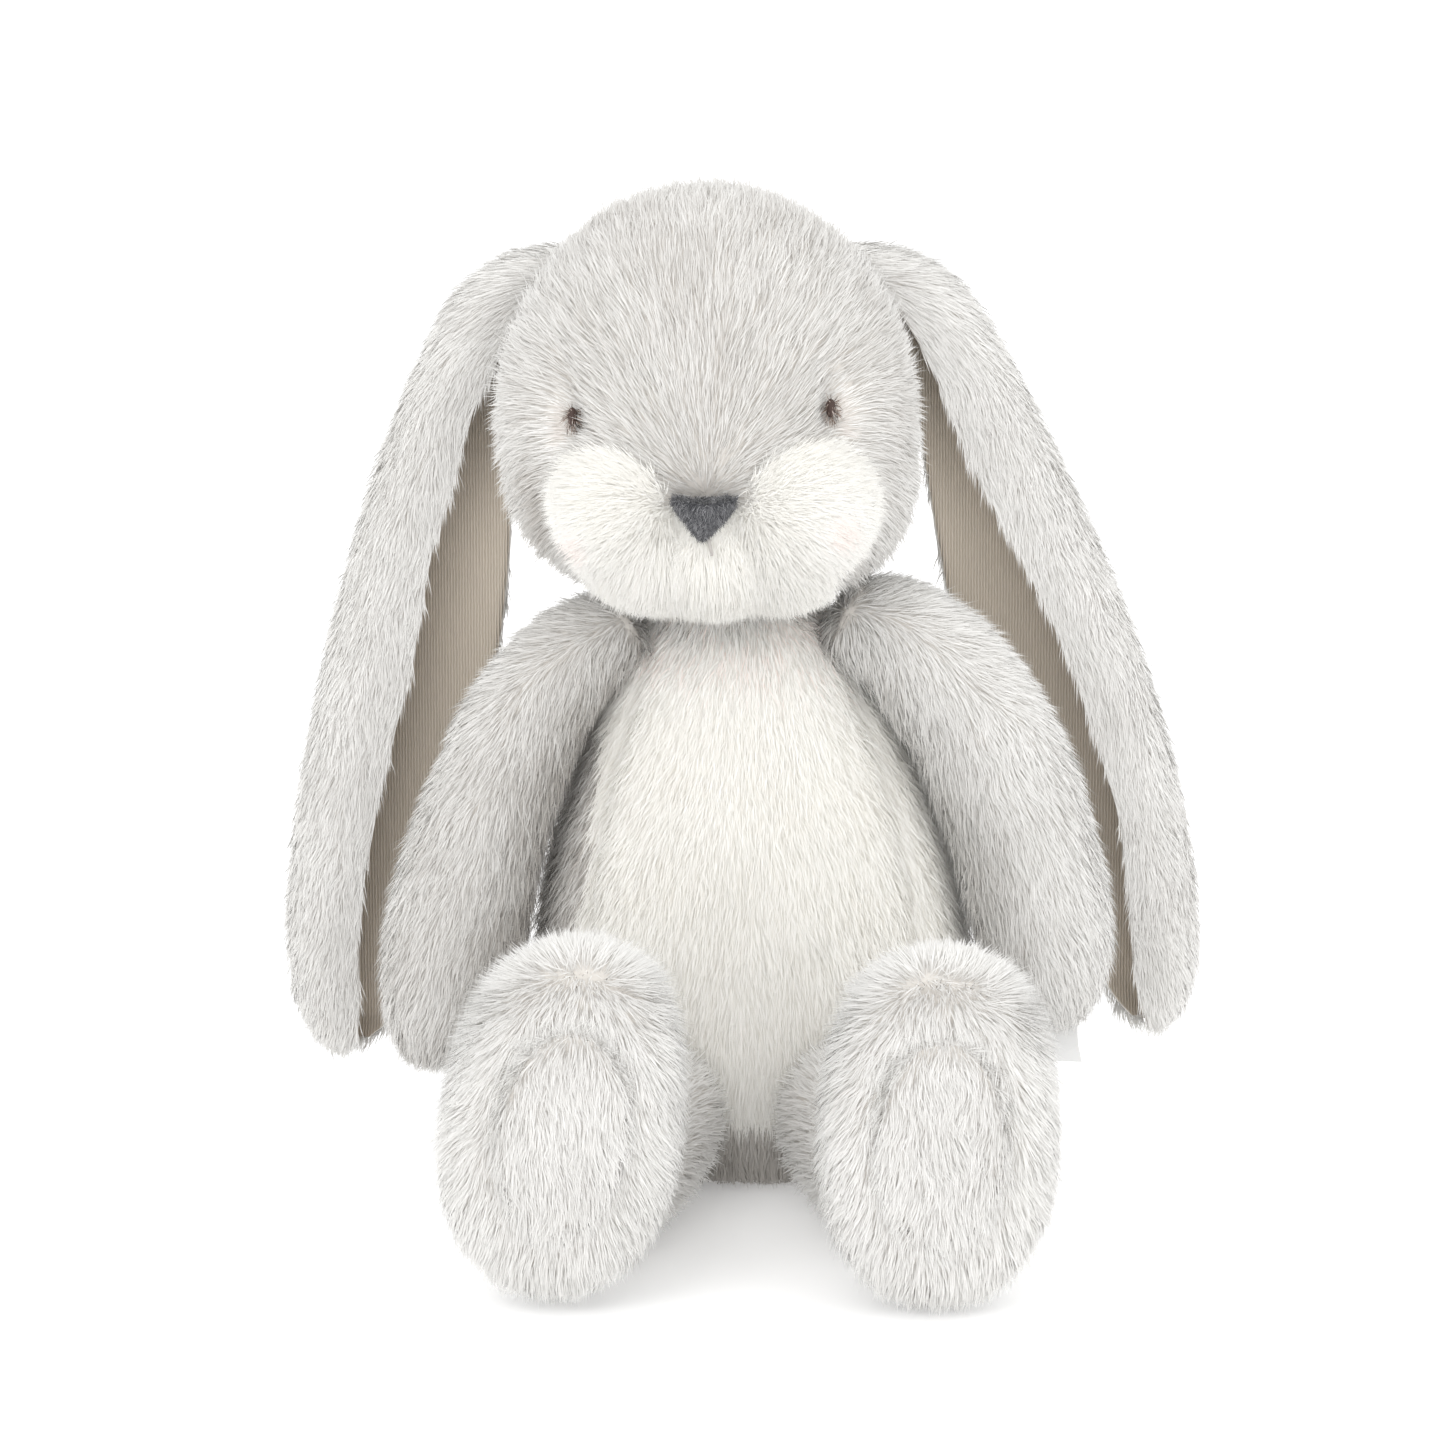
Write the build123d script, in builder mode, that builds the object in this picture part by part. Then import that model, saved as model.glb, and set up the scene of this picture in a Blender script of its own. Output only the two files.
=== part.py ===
from build123d import *
import os
from math import asin, cos, radians, sin, sqrt

# Stuffed bunny rabbit, sitting upright with its legs straight forward.
# Units are mm. +Z is up, the bunny faces -Y, and +X is the bunny's own left.
# The origin is the centre of the flat seat under the body.
# The outer faces stand for the plush at part of its pile; SKIN is the cloth and pile thickness.

os.makedirs("parts", exist_ok=True)

SKIN = 2.5
FILL_GAP = 0.1
CLEAR = 0.5
FAR = 400.0

# Body
BODY_X, BODY_Y = 2.0, 5.0
BODY_PROFILE = [(38.0, 2.5), (46.0, 12.0), (50.5, 34.0), (51.0, 62.0), (47.0, 98.0), (37.0, 126.0),
                (26.0, 142.0), (14.0, 149.5)]
BODY_TOP = 152.0
TUMMY_HALF_ANGLE = 58.0
POUCH_R, POUCH_H, POUCH_WALL = 31.0, 24.0, 1.5
TAIL = (2.0, 60.0, 27.0)
TAIL_R = 17.0

# Neck and head
NECK = (-4.0, 2.0, 150.0)
NECK_R = 22.0
HEAD = (-9.0, -4.0, 210.0)
HEAD_R, HEAD_RZ = 55.0, 58.0
GUSSET_HALF = 15.0
HEAD_SPLIT_Y = 4.0
CHEEK_R = 20.0
CHEEKS = {"right": (-31.5, -42.0, 187.5), "left": (16.0, -42.0, 187.5)}
CHIN = (-7.5, -43.0, 177.0)
CHIN_R = 17.0
NOSE = (-9.2, -62.5, 189.5)
NOSE_W, NOSE_H, NOSE_T = 18.0, 11.5, 5.0
MOUTH_R, MOUTH_L, MOUTH_Z = 0.9, 5.0, 180.5
EYES = {"right": (-44.5, -45.5, 215.5), "left": (24.0, -47.5, 216.5)}
EYE_R = 2.6

# Ears: outlines in the XZ plane, cloth layers stacked along Y
EAR_FRONT, FOLD_T, LINING_T, EAR_BACK_T = 5.0, 4.0, 3.0, 8.0
EAR_ROOT_R = 7.5
EAR_EDGE = 4.0
EAR_TRIM = 0.8
EAR_ROOT = {"right": (-55.0, 247.0), "left": (37.0, 247.0)}
EAR_OUTER = {
    "right": [(-58.0, 253.5), (-70.0, 243.0), (-82.5, 223.0), (-94.0, 196.0), (-105.0, 160.0),
              (-114.0, 126.0), (-121.5, 84.0), (-124.5, 60.0), (-122.0, 42.0), (-113.0, 27.0)],
    "left": [(40.0, 253.5), (53.0, 243.5), (68.5, 220.5), (82.5, 195.0), (97.0, 164.0),
             (111.5, 131.0), (120.0, 97.0), (125.0, 69.0), (127.0, 48.0), (120.0, 33.0)],
}
EAR_INNER = {
    "right": [(-113.0, 27.0), (-99.0, 34.0), (-88.0, 62.0), (-80.0, 92.0), (-74.0, 118.0),
              (-70.0, 143.0), (-68.0, 165.0), (-67.5, 188.0), (-66.5, 212.0), (-61.0, 240.0)],
    "left": [(120.0, 33.0), (105.0, 42.0), (94.0, 62.0), (84.0, 86.0), (74.0, 112.0),
             (65.0, 136.0), (58.0, 158.0), (54.0, 182.0), (51.5, 208.0), (43.0, 240.0)],
}
EAR_FOLD = {
    "right": [(-104.0, 33.0), (-106.5, 54.0), (-104.5, 77.0), (-97.0, 106.0), (-89.0, 143.0),
              (-85.0, 168.0), (-77.5, 193.0), (-73.0, 212.0), (-66.0, 236.0)],
    "left": [(112.0, 38.0), (108.0, 57.0), (104.5, 86.0), (99.5, 106.0), (91.0, 134.0),
             (77.0, 166.0), (63.5, 190.0), (55.0, 211.0), (48.0, 236.0)],
}

# Arms: shoulder, elbow and paw centres, with the radius at each
ARMS = {
    "right": [(-42.0, -12.0, 138.0), (-72.0, -14.0, 92.0), (-82.0, -15.0, 36.5)],
    "left": [(46.0, -12.0, 139.5), (76.5, -14.0, 98.0), (88.5, -15.0, 49.0)],
}
ARM_R = [14.5, 16.5, 16.0]
LABEL_SIZE = (9.0, 1.2, 9.0)
LABEL_AT = (90.5, -14.0, 31.0)

# Legs and feet
LEGS = {
    "right": [(-27.0, -37.0, 26.5), (-42.0, -112.0, 34.0)],
    "left": [(31.0, -37.0, 26.5), (48.0, -112.0, 34.0)],
}
LEG_R = [23.0, 20.0]
LEG_SPLIT = 29.0
LIFT_STEPS = (10, 20, 31)
FOOT_A, FOOT_B = 29.5, 46.5
FOOT_FRONT, FOOT_BACK = -158.0, -120.0
FOOT_AT = {"right": (-45.0, 47.2), "left": (50.0, 47.0)}
FOOT_ROLL = {"right": 11.0, "left": 0.0}
FOOT_ROUND_FRONT, FOOT_ROUND_BACK = 7.0, 12.0
SOLE_T = 3.0


def ball(centre, r):
    with BuildPart() as b:
        with Locations(centre):
            Sphere(r)
    return b.part


def block(x0, x1, y0, y1, z0, z1):
    with BuildPart() as b:
        with Locations(((x0 + x1) / 2, (y0 + y1) / 2, (z0 + z1) / 2)):
            Box(x1 - x0, y1 - y0, z1 - z0)
    return b.part


def spheroid(centre, r, rz):
    with BuildPart() as b:
        with BuildSketch(Plane.XZ):
            with BuildLine():
                EllipticalCenterArc((0, 0), r, rz, start_angle=-90, arc_size=180)
                Line((0, rz), (0, -rz))
            make_face()
        revolve(axis=Axis.Z)
    return b.part.moved(Location(centre))


def body_curve(inset):
    rim = [(r - inset, z) for r, z in BODY_PROFILE[:-1]]
    last_r, last_z = BODY_PROFILE[-1]
    return rim + [(last_r - inset, last_z - inset), (0, BODY_TOP - inset)]


def body_solid(inset):
    curve = body_curve(inset)
    with BuildPart() as b:
        with BuildSketch(Plane.XZ):
            with BuildLine():
                Spline(*curve)
                Polyline(curve[-1], (0, BODY_PROFILE[0][1]), curve[0])
            make_face()
        revolve(axis=Axis.Z)
    return b.part.moved(Location((BODY_X, BODY_Y, 0)))


def body_panel(a0, a1):
    outer, inner = body_curve(0), body_curve(SKIN)
    with BuildPart() as b:
        with BuildSketch(Plane.XZ):
            with BuildLine():
                Spline(*outer)
                Line(outer[-1], inner[-1])
                Spline(*inner[::-1])
                Line(inner[0], outer[0])
            make_face()
        revolve(axis=Axis.Z, revolution_arc=a1 - a0)
    return b.part.rotate(Axis.Z, a0).moved(Location((BODY_X, BODY_Y, 0)))


def limb(p0, r0, p1, r1):
    """Two balls and the cone that is tangent to both, as one solid of revolution."""
    a, c = Vector(*p0), Vector(*p1)
    axis = c - a
    d = axis.length
    s = (r0 - r1) / d
    k = sqrt(1 - s * s)
    m0, m1 = sin((asin(s) - radians(90)) / 2), cos((asin(s) - radians(90)) / 2)
    n0, n1 = sin((asin(s) + radians(90)) / 2), cos((asin(s) + radians(90)) / 2)
    with BuildPart() as b:
        with BuildSketch(Plane.XZ):
            with BuildLine():
                ThreePointArc((0, -r0), (r0 * m1, r0 * m0), (r0 * k, r0 * s))
                Line((r0 * k, r0 * s), (r1 * k, d + r1 * s))
                ThreePointArc((r1 * k, d + r1 * s), (r1 * n1, d + r1 * n0), (0, d + r1))
                Line((0, d + r1), (0, -r0))
            make_face()
        revolve(axis=Axis.Z)
    return b.part.moved(Plane(origin=p0, z_dir=axis).location)


def chain(points, radii, inset):
    with BuildPart() as b:
        for i in range(len(points) - 1):
            add(limb(points[i], radii[i] - inset, points[i + 1], radii[i + 1] - inset))
    return b.part


def outline(points_a, points_b, y0, y1):
    """A flat pattern in the XZ plane between two edges, extruded from y0 to y1."""
    with BuildPart() as b:
        with BuildSketch(Plane.XZ.offset(-y0)):
            with BuildLine():
                Spline(*points_a)
                if points_a[-1] != points_b[0]:
                    Line(points_a[-1], points_b[0])
                Spline(*points_b)
                Line(points_b[-1], points_a[0])
            make_face()
        extrude(amount=-(y1 - y0))
    return b.part


def root_pin(side, r, y0, y1):
    x, z = EAR_ROOT[side]
    with BuildPart() as b:
        with BuildSketch(Plane.XZ.offset(-y0)):
            with Locations((x, z)):
                Circle(r)
        extrude(amount=-(y1 - y0))
    return b.part


def foot_form(side, inset):
    x, z = FOOT_AT[side]
    with BuildPart() as b:
        with BuildSketch(Plane.XZ.offset(-(FOOT_FRONT + inset))):
            Ellipse(FOOT_A - inset, FOOT_B - inset)
        extrude(amount=-(FOOT_BACK - FOOT_FRONT - 2 * inset))
        front = b.edges().sort_by(Axis.Y)[0]
        back = b.edges().sort_by(Axis.Y)[-1]
        fillet(front, FOOT_ROUND_FRONT - inset)
        fillet(back, FOOT_ROUND_BACK - inset)
    return b.part.moved(Location((x, 0, z))).rotate(Axis((x, 0, z), (0, 1, 0)), FOOT_ROLL[side])


def save(solid, name):
    solid.label = name
    export_step(solid, "parts/" + name + ".step")


SIDES = ("left", "right")
SIGN = {"left": 1, "right": -1}

# Sockets that the moving pieces sit in
with BuildPart() as body_sockets:
    add(ball(NECK, NECK_R + CLEAR))
    for side in SIDES:
        add(ball(ARMS[side][0], ARM_R[0] + CLEAR))
        hip, ankle = LEGS[side]
        for lift in LIFT_STEPS:
            c, n = cos(radians(lift)), sin(radians(lift))
            dy, dz = ankle[1] - hip[1], ankle[2] - hip[2]
            raised = (ankle[0], hip[1] + dy * c + dz * n, hip[2] + dz * c - dy * n)
            add(limb(hip, LEG_R[0] + CLEAR, raised, LEG_R[1] + CLEAR))

ear_y0 = EAR_FRONT
ear_y1 = EAR_FRONT + FOLD_T + LINING_T + EAR_BACK_T
with BuildPart() as head_sockets:
    add(ball(NECK, NECK_R + CLEAR))
    for side in SIDES:
        add(root_pin(side, EAR_ROOT_R + CLEAR, ear_y0 - CLEAR, ear_y1 + CLEAR))

# Body: five plush panels, a base disc, stuffing and a bean pouch
tummy_a = TUMMY_HALF_ANGLE
panels = {
    "body_tummy": (-90 - tummy_a, -90 + tummy_a),
    "body_side_left": (-90 + tummy_a, 35),
    "body_back_left": (35, 90),
    "body_back_right": (90, 145),
    "body_side_right": (145, 270 - tummy_a),
}
for name, (a0, a1) in panels.items():
    with BuildPart() as panel:
        add(body_panel(a0, a1))
        add(body_sockets.part, mode=Mode.SUBTRACT)
    save(panel.part, name)

with BuildPart() as body_base:
    with Locations((BODY_X, BODY_Y, SKIN / 2)):
        Cylinder(BODY_PROFILE[0][0], SKIN)
save(body_base.part, "body_base")

pouch_z = SKIN + 2 + POUCH_H / 2
with BuildPart() as pouch_full:
    with Locations((BODY_X, BODY_Y + 8, pouch_z)):
        Cylinder(POUCH_R, POUCH_H)
    fillet(pouch_full.edges().filter_by(GeomType.CIRCLE), 6)
with BuildPart() as pellets:
    with Locations((BODY_X, BODY_Y + 8, pouch_z)):
        Cylinder(POUCH_R - POUCH_WALL, POUCH_H - 2 * POUCH_WALL)
    fillet(pellets.edges().filter_by(GeomType.CIRCLE), 6 - POUCH_WALL)
with BuildPart() as pouch:
    add(pouch_full.part)
    add(pellets.part, mode=Mode.SUBTRACT)
    add(body_sockets.part, mode=Mode.SUBTRACT)
with BuildPart() as pellet_fill:
    add(pellets.part)
    add(body_sockets.part, mode=Mode.SUBTRACT)
save(pouch.part, "body_bean_pouch")
save(pellet_fill.part, "body_bean_pellets")

with BuildPart() as body_stuffing:
    add(body_solid(SKIN + FILL_GAP))
    add(body_sockets.part, mode=Mode.SUBTRACT)
    add(pouch_full.part, mode=Mode.SUBTRACT)
save(body_stuffing.part, "body_stuffing")

# Tail: a plush ball sewn to the back
with BuildPart() as tail_cover:
    add(ball(TAIL, TAIL_R))
    add(ball(TAIL, TAIL_R - SKIN), mode=Mode.SUBTRACT)
    add(body_solid(0), mode=Mode.SUBTRACT)
with BuildPart() as tail_stuffing:
    add(ball(TAIL, TAIL_R - SKIN))
    add(body_solid(0), mode=Mode.SUBTRACT)
save(tail_cover.part, "tail_cover")
save(tail_stuffing.part, "tail_stuffing")

# Neck: a stuffed ball that the head tilts and nods on
with BuildPart() as neck_cover:
    add(ball(NECK, NECK_R))
    add(ball(NECK, NECK_R - SKIN), mode=Mode.SUBTRACT)
with BuildPart() as neck_stuffing:
    add(ball(NECK, NECK_R - SKIN))
save(neck_cover.part, "neck_cover")
save(neck_stuffing.part, "neck_stuffing")

# Head: gusset, two sides, two back panels, stuffing
head_outer = spheroid(HEAD, HEAD_R, HEAD_RZ)
head_inner = spheroid(HEAD, HEAD_R - SKIN, HEAD_RZ - SKIN)
with BuildPart() as head_skin:
    add(head_outer)
    add(head_inner, mode=Mode.SUBTRACT)
    add(head_sockets.part, mode=Mode.SUBTRACT)

hx = HEAD[0]
head_cuts = {
    "head_gusset": (hx - GUSSET_HALF, hx + GUSSET_HALF, -FAR, HEAD_SPLIT_Y),
    "head_side_left": (hx + GUSSET_HALF, FAR, -FAR, HEAD_SPLIT_Y),
    "head_side_right": (-FAR, hx - GUSSET_HALF, -FAR, HEAD_SPLIT_Y),
    "head_back_left": (hx, FAR, HEAD_SPLIT_Y, FAR),
    "head_back_right": (-FAR, hx, HEAD_SPLIT_Y, FAR),
}
for name, (x0, x1, y0, y1) in head_cuts.items():
    with BuildPart() as panel:
        add(head_skin.part)
        add(block(x0, x1, y0, y1, 0, FAR), mode=Mode.INTERSECT)
    save(panel.part, name)

with BuildPart() as head_stuffing:
    add(head_inner)
    add(head_sockets.part, mode=Mode.SUBTRACT)
save(head_stuffing.part, "head_stuffing")

# Muzzle: two stuffed cheeks, a chin pad, nose, mouth stitch; eyes
for side in SIDES:
    with BuildPart() as cheek:
        add(ball(CHEEKS[side], CHEEK_R))
        add(ball(CHEEKS[side], CHEEK_R - SKIN), mode=Mode.SUBTRACT)
        add(head_outer, mode=Mode.SUBTRACT)
    with BuildPart() as cheek_fill:
        add(ball(CHEEKS[side], CHEEK_R - SKIN))
        add(head_outer, mode=Mode.SUBTRACT)
    save(cheek.part, "cheek_" + side)
    save(cheek_fill.part, "cheek_stuffing_" + side)

with BuildPart() as face_so_far:
    add(head_outer)
    for side in SIDES:
        add(ball(CHEEKS[side], CHEEK_R))
with BuildPart() as chin:
    add(ball(CHIN, CHIN_R))
    add(face_so_far.part, mode=Mode.SUBTRACT)
save(chin.part, "chin_pad")

with BuildPart() as nose:
    with BuildSketch(Plane.XZ.offset(-NOSE[1])):
        with Locations((NOSE[0], NOSE[2])):
            Polygon((-NOSE_W / 2, NOSE_H / 2), (NOSE_W / 2, NOSE_H / 2), (0, -NOSE_H / 2), align=None)
    extrude(amount=-NOSE_T)
    fillet(nose.edges().filter_by(Axis.Y), 1.5)
    add(face_so_far.part, mode=Mode.SUBTRACT)
    add(ball(CHIN, CHIN_R), mode=Mode.SUBTRACT)
save(nose.part, "nose_patch")

with BuildPart() as mouth:
    with Locations((CHIN[0], CHIN[1] - CHIN_R + 0.2, MOUTH_Z)):
        Cylinder(MOUTH_R, MOUTH_L)
    add(face_so_far.part, mode=Mode.SUBTRACT)
    add(ball(CHIN, CHIN_R), mode=Mode.SUBTRACT)
save(mouth.part, "mouth_stitch")

for side in SIDES:
    with BuildPart() as eye:
        add(ball(EYES[side], EYE_R))
        add(head_outer, mode=Mode.SUBTRACT)
    save(eye.part, "eye_" + side)

# Ears: a plush outer that wraps round the far edge to the front, over a smooth lining
fold_y1 = EAR_FRONT + FOLD_T
back_y0 = fold_y1 + LINING_T
for side in SIDES:
    far_edge = EAR_OUTER[side]
    near_edge = EAR_INNER[side]
    fold_edge = EAR_FOLD[side]
    step = SIGN[side] * EAR_EDGE
    trim = SIGN[side] * EAR_TRIM
    rim_far = [(x - trim, z + (EAR_TRIM if z < 60 else 0)) for x, z in far_edge[1:]]
    rim_near = [(x - step, z) for x, z in far_edge[1:-1]]
    lining_far = [(x - step - trim, z) for x, z in far_edge[1:-1]]
    lining_near = [(x + trim, z) for x, z in near_edge[1:-1]]
    with BuildPart() as ear_outer:
        add(outline(far_edge, near_edge, back_y0, ear_y1))
        add(outline(rim_far, rim_near[::-1], fold_y1, back_y0))
        add(outline(rim_far, fold_edge, EAR_FRONT, fold_y1))
        add(root_pin(side, EAR_ROOT_R, ear_y0, ear_y1))
    save(ear_outer.part, "ear_outer_" + side)
    with BuildPart() as ear_lining:
        add(outline(lining_far, lining_near, fold_y1, back_y0))
        add(root_pin(side, EAR_ROOT_R + CLEAR, fold_y1, back_y0), mode=Mode.SUBTRACT)
    save(ear_lining.part, "ear_lining_" + side)

# Arms: front and back plush panels round a stuffed core
arm_forms = {}
for side in SIDES:
    arm_forms[side] = chain(ARMS[side], ARM_R, 0)
    core = chain(ARMS[side], ARM_R, SKIN)
    split = ARMS[side][1][1]
    cuts = {"front": (-FAR, split), "back": (split, FAR)}
    for name, (y0, y1) in cuts.items():
        with BuildPart() as panel:
            add(arm_forms[side])
            add(core, mode=Mode.SUBTRACT)
            add(block(-FAR, FAR, y0, y1, 0, FAR), mode=Mode.INTERSECT)
        save(panel.part, "arm_" + name + "_" + side)
    with BuildPart() as fill:
        add(core)
    save(fill.part, "arm_stuffing_" + side)

with BuildPart() as label:
    with Locations(LABEL_AT):
        Box(*LABEL_SIZE)
    add(arm_forms["left"], mode=Mode.SUBTRACT)
save(label.part, "side_label")

# Legs: top and bottom plush panels round a stuffed core
for side in SIDES:
    outer = limb(LEGS[side][0], LEG_R[0], LEGS[side][1], LEG_R[1])
    core = limb(LEGS[side][0], LEG_R[0] - SKIN, LEGS[side][1], LEG_R[1] - SKIN)
    cuts = {"top": (LEG_SPLIT, FAR), "bottom": (-1, LEG_SPLIT)}
    for name, (z0, z1) in cuts.items():
        with BuildPart() as panel:
            add(outer)
            add(core, mode=Mode.SUBTRACT)
            add(block(-FAR, FAR, -FAR, FAR, z0, z1), mode=Mode.INTERSECT)
        save(panel.part, "leg_" + name + "_" + side)
    with BuildPart() as fill:
        add(core)
    save(fill.part, "leg_stuffing_" + side)

# Feet: big oval pads with a sole panel in front
for side in SIDES:
    outer = foot_form(side, 0)
    core = foot_form(side, SKIN)
    ankle = ball(LEGS[side][1], LEG_R[1] + CLEAR)
    seam_y = FOOT_FRONT + SOLE_T
    with BuildPart() as sole:
        add(outer)
        add(core, mode=Mode.SUBTRACT)
        add(block(-FAR, FAR, -FAR, seam_y, -FAR, FAR), mode=Mode.INTERSECT)
    save(sole.part, "foot_sole_" + side)
    with BuildPart() as upper:
        add(outer)
        add(core, mode=Mode.SUBTRACT)
        add(block(-FAR, FAR, seam_y, FAR, -FAR, FAR), mode=Mode.INTERSECT)
        add(ankle, mode=Mode.SUBTRACT)
    save(upper.part, "foot_upper_" + side)
    with BuildPart() as fill:
        add(core)
        add(ankle, mode=Mode.SUBTRACT)
    save(fill.part, "foot_stuffing_" + side)
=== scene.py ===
import math

import bpy
import numpy as np
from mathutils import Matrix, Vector


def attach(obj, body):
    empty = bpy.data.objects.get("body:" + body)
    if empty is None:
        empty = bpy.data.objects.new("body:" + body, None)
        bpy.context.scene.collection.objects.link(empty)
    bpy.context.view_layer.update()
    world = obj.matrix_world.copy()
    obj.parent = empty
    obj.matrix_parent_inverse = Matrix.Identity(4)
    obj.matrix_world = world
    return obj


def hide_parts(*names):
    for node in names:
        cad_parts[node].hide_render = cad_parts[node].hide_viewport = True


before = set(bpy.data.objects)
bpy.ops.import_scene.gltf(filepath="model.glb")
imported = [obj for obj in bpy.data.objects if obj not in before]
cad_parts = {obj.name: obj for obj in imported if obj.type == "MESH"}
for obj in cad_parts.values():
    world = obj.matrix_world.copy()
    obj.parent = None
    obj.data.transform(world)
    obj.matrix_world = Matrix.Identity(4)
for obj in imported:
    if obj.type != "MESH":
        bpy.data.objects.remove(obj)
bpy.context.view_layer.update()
scene = bpy.context.scene
MM = 0.001  # the script works in mm, Blender in metres
TRACE = 1e-9  # keeps every scatter weight above zero
SIDES = ("left", "right")
SIGN = {"left": 1.0, "right": -1.0}


# ---------------------------------------------------------------- small maths
def vec(*v):
    return np.array(v, float)


def unit(v):
    return v / np.maximum(np.linalg.norm(v, axis=-1, keepdims=True), 1e-9)


def smooth(a, b, x):
    t = np.clip((x - a) / (b - a), 0, 1)
    return t * t * (3 - 2 * t)


# random vectors that noise3 looks up by hashed grid point
_table = np.random.default_rng(7).uniform(-1, 1, (4096, 3))


def noise3(p, scale, seed=0):
    """Smooth vector noise, three values per point."""
    q = p / scale + seed * 17.3
    i = np.floor(q).astype(np.int64)
    f = q - i
    f = f * f * (3 - 2 * f)
    out = np.zeros_like(p)
    for c in range(8):
        o = np.array([c & 1, (c >> 1) & 1, (c >> 2) & 1])
        j = i + o
        h = (j[:, 0] * 73856093 ^ j[:, 1] * 19349663 ^ j[:, 2] * 83492791) & 4095
        w = np.prod(np.where(o == 1, f, 1 - f), axis=1)
        out += _table[h] * w[:, None]
    return out


def curve_points(ctrl, n):
    """n points on a Catmull-Rom curve through the control rows."""
    c = np.array(ctrl, float)
    c = np.vstack([2 * c[0] - c[1], c, 2 * c[-1] - c[-2]])
    t = np.linspace(0, len(c) - 3 - 1e-9, n)
    k = t.astype(int)
    u = (t - k)[:, None]
    a, b, d, e = c[k], c[k + 1], c[k + 2], c[k + 3]
    return 0.5 * (2 * b + (d - a) * u + (2 * a - 5 * b + 4 * d - e) * u**2
                  + (3 * b - a - 3 * d + e) * u**3)


# ---------------------------------------------------------------- skins
class Skin:
    """A smooth surface in mm: rings of points, closed by a point at either end."""

    def __init__(self, rings, top=None, bottom=None, wrap=True):
        nv, nu = rings.shape[:2]
        verts = [rings.reshape(-1, 3)]
        idx = np.arange(nv * nu).reshape(nv, nu)
        nxt = np.roll(idx, -1, axis=1) if wrap else idx[:, 1:]
        cur = idx if wrap else idx[:, :-1]
        quads = np.stack([cur[:-1], nxt[:-1], nxt[1:], cur[1:]], -1).reshape(-1, 4)
        tris = []
        n = nv * nu
        if top is not None:
            verts.append(np.array([top]))
            tris.append(np.stack([nxt[0], cur[0], np.full(cur.shape[1], n)], -1))
            n += 1
        if bottom is not None:
            verts.append(np.array([bottom]))
            tris.append(np.stack([cur[-1], nxt[-1], np.full(cur.shape[1], n)], -1))
        self.v = np.vstack(verts)
        self.quads = quads
        self.tris = np.vstack(tris) if tris else np.zeros((0, 3), int)
        self.t = np.vstack([quads[:, [0, 1, 2]], quads[:, [0, 2, 3]], self.tris])
        self.refresh()

    def refresh(self):
        a, b, c = (self.v[self.t[:, k]] for k in range(3))
        fn = np.cross(b - a, c - a)
        self.area = 0.5 * np.linalg.norm(fn, axis=1)
        n = np.zeros_like(self.v)
        for k in range(3):
            np.add.at(n, self.t[:, k], fn)
        self.n = unit(n)

    def flip(self):
        self.quads = self.quads[:, ::-1]
        self.tris = self.tris[:, ::-1]
        self.t = self.t[:, ::-1]
        self.refresh()
        return self

    def face_out(self):
        centre = self.v.mean(0)
        if np.sum((self.v - centre) * self.n) < 0:
            self.flip()
        return self

    def mesh(self, name, body, mat, smooth_shade=True):
        me = bpy.data.meshes.new(name)
        faces = self.quads.tolist() + self.tris.tolist()
        me.from_pydata((self.v * MM).tolist(), [], faces)
        me.polygons.foreach_set("use_smooth", [smooth_shade] * len(me.polygons))
        me.update()
        o = bpy.data.objects.new(name, me)
        scene.collection.objects.link(o)
        me.materials.append(mat)
        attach(o, body)
        return o

    def scatter(self, count, density=None, seed=0):
        r = np.random.default_rng(seed)
        mid = self.v[self.t].mean(1)
        w = self.area * (density(mid) if density is not None else 1.0)
        pick = r.choice(len(w), count, p=w / w.sum())
        a, b = r.random(count), r.random(count)
        flip = a + b > 1
        a[flip], b[flip] = 1 - a[flip], 1 - b[flip]
        c = 1 - a - b
        t = self.t[pick]
        p, n = (f[t[:, 0]] * a[:, None] + f[t[:, 1]] * b[:, None] + f[t[:, 2]] * c[:, None]
                for f in (self.v, self.n))
        return p, unit(n)


def ellipsoid(rx, ry, rz):
    """The radius of an ellipsoid with these half axes along unit rays d."""
    return lambda d: 1 / np.sqrt((d[:, 0] / rx) ** 2 + (d[:, 1] / ry) ** 2 + (d[:, 2] / rz) ** 2)


def ball_rings(centre, radius_of, nv=90, nu=130):
    th = np.linspace(0, math.pi, nv + 2)[1:-1]
    ph = np.linspace(0, 2 * math.pi, nu, endpoint=False)
    T, P = np.meshgrid(th, ph, indexing="ij")
    d = np.stack([np.sin(T) * np.cos(P), np.sin(T) * np.sin(P), np.cos(T)], -1)
    flat = np.vstack([d.reshape(-1, 3), [[0, 0, 1]], [[0, 0, -1]]])
    pts = centre + flat * radius_of(flat)[:, None]
    return Skin(pts[:-2].reshape(nv, nu, 3), top=pts[-2], bottom=pts[-1]).face_out()


def exit_of_ball(d, q, r):
    """Distance along unit rays d from the origin to the far side of a ball at q; 0 if missed."""
    b = d @ q
    disc = r * r - q @ q + b * b
    return np.where(disc > 0, b + np.sqrt(np.maximum(disc, 0)), 0.0)


def soft_max(rows, k):
    m = np.max(rows, axis=0)
    return m + np.log(np.sum(np.exp(k * (np.array(rows) - m)), axis=0)) / k


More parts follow.
